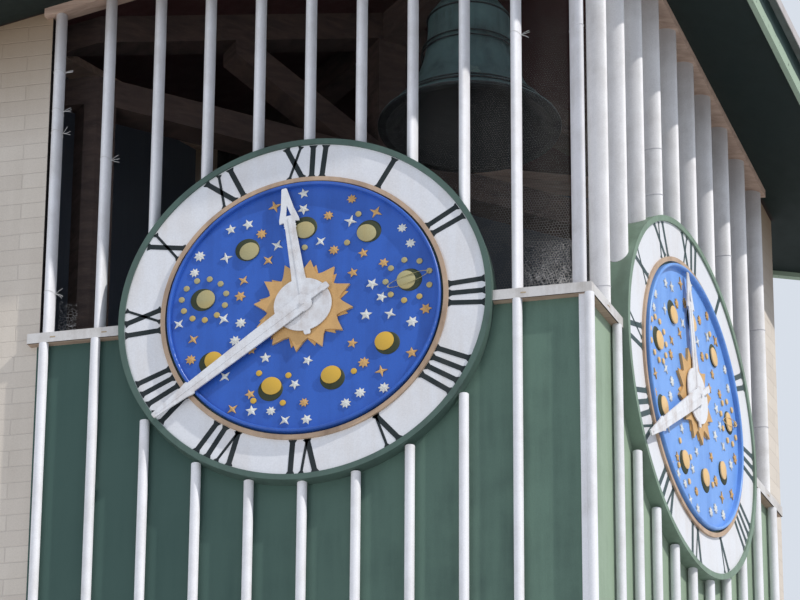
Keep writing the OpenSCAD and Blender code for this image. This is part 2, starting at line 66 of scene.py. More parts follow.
# Dials: distance from the near corner, height, radius of the drum, faces over the wall line
DIAL_ALONG = {"front": 1.337, "right": 1.275}
DIAL_Z = RAIL_Z - 0.003
DIALS = {
    "front": (CORNER - Vector((DIAL_ALONG["front"], 0, 0)), Vector((1, 0, 0)), Vector((0, -1, 0))),
    "right": (CORNER + SIDE_DIR * DIAL_ALONG["right"], SIDE_DIR, SIDE_OUT),
}
DRUM_R = 0.8885
RING_FACE = 0.033
DISC_FACE = 0.036

# Numerals: how far each letter moves the next one on, and the distance between the ends of a V
HOURS = ("XII", "I", "II", "III", "IIII", "V", "VI", "VII", "VIII", "IX", "X", "XI")
ADVANCE = {"I": 0.0555, "V": 0.096, "X": 0.116}
LETTER_WIDTH = 0.068

# Sky of a dial: moons and their distance by planet, the planet with a ring, room kept free,
# inner and outer edge of the stars, share of gold ones, and their two radii by points
MOONS = {0: (1, 0.1), 1: (2, 0.11), 2: (9, 0.107), 4: (1, 0.105), 5: (4, 0.1), 7: (11, 0.108)}
RINGED = 2
PLANET_ROOM = 0.1
CROWDED_ROOM = 0.135
MOON_ROOM = 0.035
STAR_ROOM = 0.082
SKY_EDGES = (0.27, 0.6)
GOLD_SHARE = 0.26
STARS = {4: (0.030, 0.0095), 5: (0.028, 0.0125), 6: (0.027, 0.0145), 8: (0.026, 0.0155)}

# Fins: number, first and last from the near corner, half axes, and the axes' place on the wall
FINS = 10
FIN_ENDS = {"front": (0.342, 2.585), "right": (0.237, 2.445)}
OVAL = (0.025, 0.051)
FIN_AXIS = -0.037
POST_AXIS = (0.049, -0.025)

# Netting: its ends from the near corner, its place behind the gap and the room over it
NET_ENDS = {"front": (0.108, 2.57), "right": (0.108, 2.46)}
NET_BEHIND = 0.014
NET_ROOM = 0.06

# Bell: its distance along the ridge, the height of its lip, and its bands as height over the
# lip, radius and thickness
RIDGE_LEN = (SIDE_DIR * SIDE_LEN - Vector((FRONT_LEN, 0, 0))).length
BELL_ALONG = 1.035
BELL_LIP_Z = 13.568
BELL_BANDS = ((0.012, 0.4405, 0.010), (0.075, 0.385, 0.006), (0.10, 0.368, 0.005),
              (0.40, 0.236, 0.005), (0.43, 0.231, 0.005), (0.60, 0.2075, 0.006))

# Camera fitted to the picture: focal length and width in pixels, place from the near corner of
# the rail, and turns
FOCAL = 4944.03
PHOTO_WIDTH = 800
SENSOR = 36.0
EYE_RIGHT, EYE_BACK, EYE_DROP = 3.36775, 19.796, 10.64375
VIEW_TURN, VIEW_TILT, VIEW_ROLL = 0.2118, 0.4841, 0.0057


# Selecting and editing

def deselect():
    if bpy.context.object and bpy.context.object.mode != "OBJECT":
        bpy.ops.object.mode_set(mode="OBJECT")
    bpy.ops.object.select_all(action="DESELECT")


def only(*objects):
    """Selects these objects and makes the first one active."""
    deselect()
    for obj in objects:
        obj.select_set(True)
    bpy.context.view_layer.objects.active = objects[0]


def pick(obj, test=lambda co: True):
    """Enters edit mode with the vertices selected for which the test holds."""
    bpy.ops.object.mode_set(mode="OBJECT")
    mesh = obj.data
    for part in (mesh.vertices, mesh.edges, mesh.polygons):
        part.foreach_set("select", [False] * len(part))
    bpy.context.tool_settings.mesh_select_mode = (True, False, False)
    for v in mesh.vertices:
        v.select = bool(test(v.co))
    bpy.ops.object.mode_set(mode="EDIT")
    bpy.ops.mesh.select_mode(type="VERT")


def done():
    bpy.ops.object.mode_set(mode="OBJECT")


def thicken(obj, height):
    """Extrudes a flat mesh upwards."""
    pick(obj)
    bpy.ops.mesh.extrude_region_move(TRANSFORM_OT_translate={"value": (0, 0, height)})
    done()


def face_out(obj):
    pick(obj)
    bpy.ops.mesh.normals_make_consistent(inside=False)
    done()


def settle(obj, place=None):
    """Puts an object's place, turn and scale into its mesh."""
    only(obj)
    if place is not None:
        obj.matrix_world = place @ obj.matrix_world
    bpy.ops.object.transform_apply(location=True, rotation=True, scale=True)
    return obj


def modify(obj, kind, **values):
    only(obj)
    modifier = obj.modifiers.new(kind.title(), kind)
    for key, value in values.items():
        setattr(modifier, key, value)
    bpy.ops.object.modifier_apply(modifier=modifier.name)
    return obj


def soften(obj, width):
    return modify(obj, "BEVEL", width=width, segments=2, limit_method="ANGLE")


def copied(obj, place):
    """A copy with its own mesh, moved to its place."""
    twin = obj.copy()
    twin.data = obj.data.copy()
    bpy.context.scene.collection.objects.link(twin)
    twin.matrix_world = place @ obj.matrix_world
    return twin


def drop(*objects):
    """Removes objects that were only copied from or cut with."""
    for obj in objects:
        bpy.data.objects.remove(obj)


def joined(objects):
    only(*objects)
    bpy.ops.object.transform_apply(location=True, rotation=True, scale=True)
    if len(objects) > 1:
        bpy.ops.object.join()
    return bpy.context.object


def ready(obj, name, material, body="tower", smooth=None):
    """Names, paints and mounts a finished piece."""
    obj.name = name
    obj.data.name = name
    obj.data.materials.clear()
    obj.data.materials.append(material)
    only(obj)
    if smooth is not None:
        bpy.ops.object.shade_smooth_by_angle(angle=math.radians(smooth))
    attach(obj, body)
    deselect()


# Plain forms

def rod(radius, start, end, sides):
    """A round bar from one point to another."""
    deselect()
    start, end = Vector(start), Vector(end)
    run = end - start
    bpy.ops.mesh.primitive_cylinder_add(vertices=sides, radius=radius, depth=run.length)
    turn = run.to_track_quat("Z", "Y").to_matrix().to_4x4()
    return settle(bpy.context.object, Matrix.Translation((start + end) / 2) @ turn)


def disc(radius, depth, edge, sides):
    """A flat disc with a softened edge."""
    deselect()
    bpy.ops.mesh.primitive_cylinder_add(vertices=sides, radius=radius, depth=depth)
    return soften(bpy.context.object, edge)


def hoop(radius, thickness, place, sides, section):
    deselect()
    bpy.ops.mesh.primitive_torus_add(
        major_segments=sides, minor_segments=section, major_radius=radius, minor_radius=thickness)
    return settle(bpy.context.object, place)


# Places on the tower

def roof_under(p, q):
    """Height of the roof's underside at distances from the near corner along both faces."""
    return RIDGE_Z - ROOF_FALL * abs(p / FRONT_LEN - q / SIDE_LEN)


def fin_along(side, k):
    """Distance of a fin from the near corner."""
    first, last = FIN_ENDS[side]
    return first + k * (last - first) / (FINS - 1)


def on_wall(side, along, out, z):
    """The place on a face, with X along it to the right, Y into the tower and Z up."""
    if side == "front":
        turn, foot = Matrix.Identity(4), CORNER + Vector((-along, -out, 0))
    else:
        turn = Matrix.Rotation(math.pi / 2 - SKEW, 4, "Z")
        foot = CORNER + SIDE_DIR * along + SIDE_OUT * out
    return Matrix.Translation(foot + UP * z) @ turn


def on_fin(side, k, rise=0.0):
    """The place in the middle of a fin at a height over the rail."""
    return on_wall(side, fin_along(side, k), FIN_AXIS, RAIL_Z + rise)


def on_dial(side, lift, clock=0.0, radius=0.0):
    """The place on a dial at a height over the wall line, a clock angle and a radius."""
    foot, across, out = DIALS[side]
    base = Matrix((across, UP, out)).transposed().to_4x4()
    turn = Matrix.Rotation(-math.radians(clock), 4, "Z")
    return (Matrix.Translation(foot + UP * DIAL_Z) @ base
            @ turn @ Matrix.Translation((0, radius, lift)))


def clock_point(angle, radius):
    """The flat point at a clock angle and a radius."""
    return Vector((math.sin(angle), math.cos(angle))) * radius


# Nodes


class Sheet:
    """A material's node tree, with short ways to wire its shader."""

    def __init__(self, name, slot=None):
        self.material = bpy.data.materials.new(name)
        self.material.use_nodes = True
        self.tree = self.material.node_tree
        self.shader = self.tree.nodes["Principled BSDF"]

    def wire(self, socket, name):
        self.tree.links.new(socket, self.shader.inputs[name])

    def under(self, name):
        """What an input of the shader is wired to so far."""
        return self.shader.inputs[name].links[0].from_socket

    def cover(self, factor, colour):
        """Lays a colour over the base colour where the factor is high."""
        self.wire(mix(self.tree, factor, self.under("Base Color"), colour), "Base Color")

    def group(self, name, **inputs):
        inputs = {key.replace("_", " "): value for key, value in inputs.items()}
        return add_node(self.tree, "Group", inputs, node_tree=bpy.data.node_groups[name])


def feed(tree, socket, value):
    """Gives a socket a value, or wires it to another socket or to a node's first output."""
    if isinstance(value, bpy.types.NodeSocket):
        tree.links.new(value, socket)
    elif hasattr(value, "outputs"):
        tree.links.new(value.outputs[0], socket)
    else:
        socket.default_value = value


def add_node(tree, kind, inputs=(), **values):
    node = tree.nodes.new("ShaderNode" + kind)
    for key, value in values.items():
        setattr(node, key, value)
    for key, value in dict(inputs).items():
        feed(tree, node.inputs[key], value)
    return node


def new_group(name, inputs, outputs):
    """A node group, with what its inputs give and what its outputs take."""
    tree = bpy.data.node_groups.new(name, "ShaderNodeTree")
    for label, kind, value in inputs:
        socket = tree.interface.new_socket(label, in_out="INPUT", socket_type="NodeSocket" + kind)
        socket.default_value = value
    for label, kind in outputs:
        tree.interface.new_socket(label, in_out="OUTPUT", socket_type="NodeSocket" + kind)
    return tree, tree.nodes.new("NodeGroupInput").outputs, tree.nodes.new("NodeGroupOutput").inputs


def mix(tree, factor, a, b, blend="MIX"):
    """A mix of two colours."""
    inputs = {0: factor, 6: a, 7: b}
    return add_node(tree, "Mix", inputs, data_type="RGBA", blend_type=blend).outputs[2]


def choose(tree, factor, a, b):
    """A mix of two numbers."""
    return add_node(tree, "Mix", {0: factor, 2: a, 3: b}).outputs[0]


def maths(tree, operation, *values, clamp=False):
    node = add_node(tree, "Math", enumerate(values), operation=operation, use_clamp=clamp)
    return node.outputs[0]


def vectors(tree, operation, *values):
    node = add_node(tree, "VectorMath", enumerate(values), operation=operation)
    return node.outputs[1 if operation in ("DOT_PRODUCT", "LENGTH") else 0]


def spread(tree, value, low, high, to_low=0.0, to_high=1.0):
    return add_node(tree, "MapRange", enumerate((value, low, high, to_low, to_high))).outputs[0]


def split(tree, vector):
    """The three numbers of a vector."""
    return add_node(tree, "SeparateXYZ", {0: vector}).outputs


def place_of(tree):
    return add_node(tree, "TexCoord").outputs["Object"]


def normal_of(tree):
    return add_node(tree, "NewGeometry").outputs["True Normal"]


def stretched(tree, scale):
    """Places on the piece, scaled by a number for each direction."""
    return add_node(tree, "Mapping", {0: place_of(tree), "Scale": scale})


def noise(tree, scale, detail=4.0, rough=0.55, vector=None):
    return add_node(tree, "TexNoise", {
        "Vector": vector or place_of(tree), "Scale": scale, "Detail": detail,
        "Roughness": rough})


# Groups of nodes that several materials share

def wear_group():
    """Paint with broad dirt, runs down the face and a fine grain."""
    tree, gin, gout = new_group("Paint Wear", [
        ("Paint", "Color", (0.8, 0.8, 0.8, 1)), ("Dirt", "Color", (0.2, 0.17, 0.13, 1)),
        ("Dirt Amount", "Float", 0.3), ("Scale", "Float", 6.0)],
        [("Color", "Color"), ("Mask", "Float"), ("Fine", "Float")])
    broad = noise(tree, gin["Scale"], 6.0, 0.6)
    runs = noise(tree, 1.0, 5.0, 0.6, stretched(tree, (14, 14, 1.1)))
    fine = noise(tree, 160.0, 3.0, 0.6)
    both = spread(tree, maths(tree, "MULTIPLY", broad, runs), 0.2, 0.42)
    mask = maths(tree, "MULTIPLY", both, gin["Dirt Amount"])
    tint = mix(tree, mask, gin["Paint"], gin["Dirt"])
    shade = spread(tree, fine, 0.3, 0.7, 0.94, 1.05)
    feed(tree, gout["Color"], mix(tree, 1.0, tint, shade, "MULTIPLY"))
    feed(tree, gout["Mask"], mask)
    feed(tree, gout["Fine"], fine)


def chips_group():
    """Ragged chips, more of them for a higher amount."""
    tree, gin, gout = new_group(
        "Edge Chips", [("Scale", "Float", 22.0), ("Amount", "Float", 0.5)], [("Chips", "Float")])
    spots = noise(tree, gin["Scale"], 8.0, 0.7)
    level = spread(tree, gin["Amount"], 0.0, 1.0, 0.8, 0.5)
    feed(tree, gout[0], spread(tree, spots, level, maths(tree, "ADD", level, 0.05)))


def wall_group():
    """Distances along a wall and up it, on the front and back or on the skewed sides."""
    tree, gin, gout = new_group(
        "Wall Map", [("Offset", "Vector", (0, 0, 0))], [("Vector", "Vector")])
    place = place_of(tree)
    facing = maths(tree, "ABSOLUTE", split(tree, normal_of(tree))[1])
    xyz = split(tree, place)
    along = choose(tree, maths(tree, "GREATER_THAN", facing, 0.6),
                   vectors(tree, "DOT_PRODUCT", place, SIDE_DIR), xyz[0])
    flat = add_node(tree, "CombineXYZ", {0: along, 1: xyz[2]})
    feed(tree, gout[0], vectors(tree, "ADD", flat, gin[0]))


def soffit_group():
    """Height over the underside of the roof, which falls to both sides of its ridge."""
    tree, _, gout = new_group("Over Soffit", [], [("Height", "Float")])
    place = place_of(tree)
    across = vectors(tree, "DOT_PRODUCT", place, OFF_RIDGE)
    off = maths(tree, "ABSOLUTE", maths(tree, "ADD", across, -CORNER.dot(OFF_RIDGE)))
    over_ridge = maths(tree, "SUBTRACT", split(tree, place)[2], RIDGE_Z)
    fallen = maths(tree, "MULTIPLY", off, ROOF_FALL)
    feed(tree, gout[0], maths(tree, "ADD", fallen, over_ridge))


def depth_group():
    """Distances in from the front and right faces, and from the nearest of all four."""
    tree, _, gout = new_group(
        "Plan Depth", [], [("Near", "Float"), ("Far", "Float"), ("Inside", "Float")])
    place = place_of(tree)
    back = maths(tree, "SUBTRACT", split(tree, place)[1], CORNER.y)
    side = maths(tree, "ADD", vectors(tree, "DOT_PRODUCT", place, -SIDE_OUT), CORNER.dot(SIDE_OUT))
    near = maths(tree, "MINIMUM", back, side)
    rest = maths(tree, "MINIMUM", maths(tree, "SUBTRACT", SIDE_LEN * SIDE_DIR.y, back),
                 maths(tree, "SUBTRACT", FRONT_LEN * SIDE_OUT.x, side))
    feed(tree, gout["Near"], near)
    feed(tree, gout["Far"], maths(tree, "MAXIMUM", back, side))
    feed(tree, gout["Inside"], maths(tree, "MINIMUM", near, rest))


def net_group():
    """Wires of a hexagonal mesh, from the distance to the middle of the nearest cell."""
    tree, gin, gout = new_group("Hex Net", [
        ("Vector", "Vector", (0, 0, 0)), ("Cell", "Vector", (0.013, 0.015, 1)),
        ("Wire", "Float", 0.05)], [("Mask", "Float")])
    step, half = (0.5, 0.866, 0), Vector((0.5, 0.866, 0.5))
    at = vectors(tree, "DIVIDE", gin["Vector"], gin["Cell"])
    offsets = [vectors(tree, "WRAP", start, half, -half)
               for start in (at, vectors(tree, "ADD", at, step))]
    sizes = [vectors(tree, "LENGTH", offset) for offset in offsets]
    nearest = mix(tree, maths(tree, "LESS_THAN", *sizes), offsets[1], offsets[0])
    absolute = vectors(tree, "ABSOLUTE", nearest)
    reach = maths(tree, "MAXIMUM", split(tree, absolute)[0],
                  vectors(tree, "DOT_PRODUCT", absolute, step))
    low = maths(tree, "SUBTRACT", 0.5, gin["Wire"])
    feed(tree, gout[0], spread(tree, reach, low, maths(tree, "ADD", low, 0.015)))


def grain_group():
    """Wood between a light and a dark colour, with its grain along the board."""
    tree, gin, gout = new_group("Wood Grain", [
        ("Light", "Color", (0.3, 0.2, 0.1, 1)), ("Dark", "Color", (0.1, 0.06, 0.03, 1)),
        ("Along", "Vector", (30, 30, 1.5))], [("Color", "Color"), ("Grain", "Float")])
    grain = noise(tree, 1.0, 8.0, 0.65, stretched(tree, gin["Along"]))
    grain.inputs["Distortion"].default_value = 0.6
    mask = spread(tree, grain, 0.3, 0.7)
    feed(tree, gout["Color"], mix(tree, mask, gin["Light"], gin["Dark"]))
    feed(tree, gout["Grain"], grain)


NODE_GROUPS = (
    wear_group, chips_group, wall_group, soffit_group, depth_group, net_group, grain_group)


# Materials

def bump(sheet, height, distance, strength):
    inputs = {"Height": height, "Distance": distance, "Strength": strength}
    sheet.wire(add_node(sheet.tree, "Bump", inputs).outputs[0], "Normal")


def painted(name, slot, colour, dirt, amount=0.35, scale=6.0, rough=0.45):
    """Paint with dirt runs, fine grain and a roughness that follows them."""
    sheet = Sheet(name, slot)
    wear = sheet.group("Paint Wear", Paint=(*colour, 1), Dirt=(*dirt, 1),
                       Dirt_Amount=amount, Scale=scale)
    sheet.wire(wear.outputs["Color"], "Base Color")
    dulled = spread(sheet.tree, wear.outputs["Mask"], 0, 1, rough, min(rough + 0.35, 1))
    sheet.wire(dulled, "Roughness")
    sheet.shader.inputs["Specular IOR Level"].default_value = 0.3
    bump(sheet, wear.outputs["Fine"], 0.0006, 0.4)
    return sheet


def chipped(name, slot, colour, dirt, bare, amount, scale, dirt_amount=0.4):
    """Paint over metal with chips and rust spots that have pale edges."""
    sheet = painted(name, slot, colour, dirt, dirt_amount, 5.0, 0.5)
    tree = sheet.tree
    chips = sheet.group("Edge Chips", Amount=amount, Scale=scale)
    edges = sheet.group("Edge Chips", Amount=amount + 0.025, Scale=scale)
    sheet.cover(edges, mix(tree, 0.6, sheet.under("Base Color"), (0.45, 0.46, 0.40, 1)))
    sheet.cover(chips, (*bare, 1))
    sheet.wire(choose(tree, chips, sheet.under("Roughness"), 0.85), "Roughness")
    return sheet


def timber(name, slot, light, dark, along):
    sheet = Sheet(name, slot)
    grain = sheet.group("Wood Grain", Light=(*light, 1), Dark=(*dark, 1), Along=along)
    sheet.wire(grain.outputs["Color"], "Base Color")
    sheet.wire(spread(sheet.tree, grain.outputs["Grain"], 0.2, 0.8, 0.6, 0.8), "Roughness")
    bump(sheet, grain.outputs["Grain"], 0.002, 0.5)
    return sheet


def brickwork():
    """Cream bricks and mortar, brown under the roof and dark with painted shade in the reveal at
    the left.
    """
    sheet = Sheet("cream brick", "cream_brick")
    tree = sheet.tree
    where = sheet.group("Wall Map", Offset=(-0.0655, -0.0433, 0))
    push = vectors(tree, "MULTIPLY", noise(tree, 3.0, 2.0).outputs["Color"], (0.012, 0.010, 0))
    bricks = add_node(tree, "TexBrick", {
        "Vector": vectors(tree, "ADD", where, push), "Color1": (0.625, 0.565, 0.495, 1),
        "Color2": (0.58, 0.52, 0.455, 1), "Mortar": (0.55, 0.495, 0.435, 1), "Scale": 1.0,
        "Mortar Size": 0.0035, "Mortar Smooth": 0.8, "Brick Width": 0.258, "Row Height": 0.0819})
    wear = sheet.group("Paint Wear", Paint=bricks.outputs["Color"], Dirt=(0.36, 0.31, 0.25, 1),
                       Dirt_Amount=0.2, Scale=1.6)
    sheet.wire(wear.outputs["Color"], "Base Color")
    sheet.cover(spread(tree, sheet.group("Over Soffit"), -0.7, 0.0), (0.27, 0.19, 0.12, 1))
    # Painted shade: near-black on the reveal face at the left.
    to_right = maths(tree, "GREATER_THAN", split(tree, normal_of(tree))[0], 0.8)
    at_left = maths(tree, "LESS_THAN", split(tree, place_of(tree))[0], -0.5)
    sheet.cover(maths(tree, "MULTIPLY", to_right, at_left), (0.02, 0.016, 0.014, 1))
    sheet.shader.inputs["Roughness"].default_value = 0.85
    lumps = maths(tree, "MULTIPLY", noise(tree, 60.0, 5.0, 0.6), 0.5)
    bump(sheet, maths(tree, "SUBTRACT", lumps, bricks.outputs["Fac"]), 0.003, 0.6)
    return sheet


def fascia_paint():
    """Dark green boards with a pale, flaking lower edge."""
    sheet = painted("fascia green", "pale_green_wood", (0.020, 0.042, 0.040),
                    (0.012, 0.018, 0.018), 0.4, 4.0, 0.5)
    tree = sheet.tree
    ragged = spread(tree, noise(tree, 9.0, 4.0), 0.3, 0.7, -0.004, 0.004)
    edge = maths(tree, "ADD", sheet.group("Over Soffit"), ragged)
    flakes = sheet.group("Edge Chips", Amount=0.62, Scale=30.0)
    pale = mix(tree, flakes, (0.33, 0.42, 0.32, 1), (0.05, 0.06, 0.05, 1))
    sheet.cover(spread(tree, edge, 0.047, 0.053, 1.0, 0.0), pale)
    return sheet


def fin_paint(name, colour):
    """White paint that darkens to a warm painted shade close under the wall plates."""
    sheet = painted(name, "white_metal", colour, (0.36, 0.33, 0.30), 0.35, 7.0)
    # Painted shade: warm brown darkening close under the wall plates.
    painted_plate_shade = spread(sheet.tree, sheet.group("Over Soffit"), -0.38, -0.05, 0.0, 0.55)
    sheet.cover(painted_plate_shade, (0.21, 0.155, 0.125, 1))
    return sheet


def soffit_paint():
    """Dark green boards outside the walls and dark red-brown over the belfry."""
    sheet = painted("soffit green", "green_wood", (0.009, 0.018, 0.0165),
                    (0.016, 0.021, 0.018), 0.5, 1.5, 0.6)
    inside = sheet.group("Plan Depth").outputs["Inside"]
    sheet.cover(spread(sheet.tree, inside, 0.0, 0.04), (0.042, 0.014, 0.014, 1))
    return sheet


def rail_paint():
    """Chipped white faces over bare timber, which shows underneath behind a painted shadow line in
    the gap.
    """
    sheet = painted("rail paint", "white_metal", (0.60, 0.585, 0.575), (0.28, 0.24, 0.20), 0.6, 9.0)
    tree = sheet.tree
    grain = sheet.group("Wood Grain", Light=(0.50, 0.38, 0.29, 1), Dark=(0.30, 0.21, 0.16, 1),
                        Along=(4, 30, 30))
    # Painted shadow: near-black under the face board, in the gap before the timber.
    gap_shadow = spread(tree, sheet.group("Plan Depth").outputs["Near"], -0.012, -0.009, 1.0, 0.0)
    bare = mix(tree, gap_shadow, grain.outputs["Color"], (0.03, 0.02, 0.015, 1))
    sheet.cover(sheet.group("Edge Chips", Amount=0.42, Scale=26.0), (0.36, 0.29, 0.23, 1))
    sheet.cover(maths(tree, "LESS_THAN", split(tree, normal_of(tree))[2], -0.5), bare)
    return sheet


def panel_paint():
    """Green panel, paler towards the corner."""
    sheet = painted("front panel green", "green_panel", (0.102, 0.172, 0.134),
                    (0.035, 0.06, 0.055), 0.5, 3.0, 0.5)
    far = sheet.group("Plan Depth").outputs["Far"]
    sheet.cover(spread(sheet.tree, far, 0.3, 1.9, 0.0, 0.85), (0.034, 0.076, 0.067, 1))
    return sheet


def bell_paint():
    """Green bronze, with painted shade inside the mouth."""
    sheet = chipped("bell bronze", "bell_bronze", (0.082, 0.142, 0.146), (0.016, 0.022, 0.020),
                    (0.10, 0.18, 0.16), 0.5, 7.0, 0.7)
    tree = sheet.tree
    # Painted shade: near-black on the faces that turn down inside the mouth.
    inside = maths(tree, "LESS_THAN", split(tree, normal_of(tree))[2], -0.03)
    sheet.cover(inside, (0.010, 0.012, 0.014, 1))
    return sheet


def planet_paint():
    """Olive gold on the upper planets and brighter gold on the lower ones."""
    sheet = painted("planet gold", "sun_gold", (0.40, 0.36, 0.19), (0.40, 0.26, 0.08),
                    0.4, 5.0, 0.4)
    z = split(sheet.tree, place_of(sheet.tree))[2]
    low = spread(sheet.tree, z, DIAL_Z - 0.12, DIAL_Z + 0.08, 0.85, 0.0)
    sheet.cover(low, (0.64, 0.38, 0.035, 1))
    return sheet


def board_paint():
    """Upright boards with open joints, darker and bluer on the side that faces the belfry as
    painted shade.
    """
    outer, inner, pitch = (0.10, 0.17, 0.14), (0.065, 0.080, 0.105), 0.13
    sheet = timber("board green", "green_wood", outer, [c * 0.65 for c in outer], (40, 40, 2))
    tree = sheet.tree
    along = split(tree, sheet.group("Wall Map"))[0]
    cycle = maths(tree, "FRACT", maths(tree, "DIVIDE", along, pitch))
    edge = maths(tree, "ABSOLUTE", maths(tree, "SUBTRACT", cycle, 0.5))
    sheet.cover(spread(tree, edge, 0.46, 0.49), (0.01, 0.01, 0.01, 1))
    # Painted shade: the faces turned in to the belfry take a darker, bluer colour.
    outwards = vectors(tree, "MULTIPLY", place_of(tree), (1, 1, 0))
    away = vectors(tree, "DOT_PRODUCT", normal_of(tree), outwards)
    sheet.cover(maths(tree, "LESS_THAN", away, 0.0), (*inner, 1))
    return sheet


def netting_material():
    """Hexagonal wire netting, open between its thin wires, that shows most near the corner."""
    sheet = Sheet("wire netting", "white_metal")
    tree = sheet.tree
    sway = vectors(tree, "MULTIPLY", noise(tree, 7.0, 2.0).outputs["Color"], (0.03, 0.03, 0))
    place = vectors(tree, "ADD", sheet.group("Wall Map"), sway)
    wires = sheet.group("Hex Net", Vector=place, Wire=0.055)
    near = spread(tree, sheet.group("Plan Depth").outputs["Far"], 0.25, 1.15, 0.9, 0.06)
    z = split(tree, place_of(tree))[2]
    lower = spread(tree, z, RAIL_Z + 0.3, RAIL_Z + 1.6, 0.65, 0.15)
    patch = spread(tree, noise(tree, 2.2, 3.0), 0.35, 0.65, 0.6, 1.1)
    share = maths(tree, "MULTIPLY", maths(tree, "MULTIPLY", near, lower), patch)
    sheet.wire(maths(tree, "MULTIPLY", wires, share, clamp=True), "Alpha")
    sheet.wire(mix(tree, noise(tree, 30.0), (0.34, 0.31, 0.28, 1), (0.55, 0.54, 0.52, 1)),
               "Base Color")
    sheet.shader.inputs["Roughness"].default_value = 0.6
    return sheet


def folds_material():
    """The same netting where it is bunched up, fading into the stretched part above."""
    sheet = Sheet("netting folds", "white_metal")
    tree = sheet.tree
    cells = add_node(tree, "TexVoronoi", {"Vector": sheet.group("Wall Map"), "Scale": 58.0},
                     feature="DISTANCE_TO_EDGE")
    wires = spread(tree, cells.outputs["Distance"], 0.03, 0.055, 0.75, 0.0)
    z = split(tree, place_of(tree))[2]
    ragged = maths(tree, "ADD", z, spread(tree, noise(tree, 8.0), 0.3, 0.7, -0.12, 0.12))
    fade = spread(tree, ragged, RAIL_Z + 0.12, RAIL_Z + 0.36, 1.0, 0.0)
    sheet.wire(maths(tree, "MULTIPLY", wires, fade), "Alpha")
    sheet.shader.inputs["Base Color"].default_value = (0.38, 0.37, 0.36, 1)
    return sheet


# Name, slot, paint, dirt, share of dirt, scale of the dirt and roughness
PAINTED = (
    ("white post paint", "white_metal", (0.66, 0.655, 0.685), (0.30, 0.28, 0.25), 0.4, 7.0),
    # Right panel: a paler copy of the front panel green, as painted sunlight.
    ("side panel green with painted sunlight", "green_panel", (0.275, 0.36, 0.265), (0.15, 0.2, 0.14), 0.4, 3.0, 0.5),
    ("door green", "green_wood", (0.07, 0.12, 0.10), (0.04, 0.05, 0.04), 0.4, 5.0, 0.5),
    ("roof sheet", "roof_sheet", (0.19, 0.22, 0.21), (0.10, 0.09, 0.08), 0.5, 2.0, 0.6),
    ("dial white", "dial_white", (0.71, 0.72, 0.755), (0.50, 0.42, 0.34), 0.3, 3.0, 0.35),
    ("dial blue", "dial_blue", (0.036, 0.118, 0.48), (0.014, 0.035, 0.16), 0.35, 4.0, 0.3),
    # Right star disc: a paler copy of the dial blue.
    ("paler dial blue", "dial_blue", (0.17, 0.36, 0.78), (0.05, 0.12, 0.40), 0.35, 4.0, 0.3),
    ("sun gold", "sun_gold", (0.60, 0.365, 0.15), (0.34, 0.18, 0.07), 0.35, 16.0, 0.45),
    ("hand white", "hand_white", (0.72, 0.73, 0.76), (0.34, 0.25, 0.20), 0.6, 14.0, 0.4),
    ("numeral black", "dial_white", (0.008, 0.015, 0.018), (0.05, 0.055, 0.055), 0.4, 12.0, 0.6),
    # Right numerals: a greyed copy of the numeral black, as painted glare of the sun.
    ("numeral grey with painted glare", "dial_white", (0.045, 0.075, 0.078), (0.12, 0.13, 0.13), 0.4, 12.0, 0.6),
    ("planet tan", "sun_gold", (0.74, 0.50, 0.24), (0.66, 0.40, 0.10), 0.5, 5.0, 0.4),
    ("star white", "hand_white", (0.68, 0.69, 0.66), (0.35, 0.27, 0.18), 0.35, 30.0, 0.45),
    ("star gold", "sun_gold", (0.60, 0.365, 0.14), (0.30, 0.15, 0.06), 0.4, 30.0, 0.45),
    ("planet shade", "green_wood", (0.035, 0.045, 0.022), (0.02, 0.02, 0.01), 0.4, 12.0, 0.6),
    ("dark iron", "iron", (0.03, 0.027, 0.025), (0.07, 0.035, 0.02), 0.5, 12.0, 0.6),
    ("worn slot", "plate_wood", (0.42, 0.33, 0.22), (0.2, 0.13, 0.08), 0.5, 40.0, 0.8),
    ("tie wire", "iron", (0.62, 0.62, 0.62), (0.3, 0.25, 0.20), 0.4, 60.0, 0.4),
)

# Name, slot, paint, dirt, bare metal, amount and scale of the chips and share of dirt
CHIPPED = (
    ("drum green", "drum_metal", (0.078, 0.128, 0.108), (0.04, 0.05, 0.05),
     (0.14, 0.065, 0.03), 0.35, 26.0),
    ("side drum green", "drum_metal", (0.19, 0.27, 0.205), (0.07, 0.08, 0.06),
     (0.16, 0.08, 0.04), 0.38, 26.0),
    ("gilt tan", "gilt", (0.50, 0.36, 0.25), (0.17, 0.11, 0.08),
     (0.10, 0.05, 0.03), 0.42, 34.0, 0.6),
)

PAINT = {}
# The right fins take a brighter copy of the white paint: painted sunlight.
FIN_PAINT = {"front": "white paint", "right": "white paint with painted sunlight"}
# The right numerals' grey is painted glare.
NUMERAL_PAINT = {"front": "numeral black", "right": "numeral grey with painted glare"}
PLANET_PAINT = {"front": "planet gold", "right": "planet tan"}

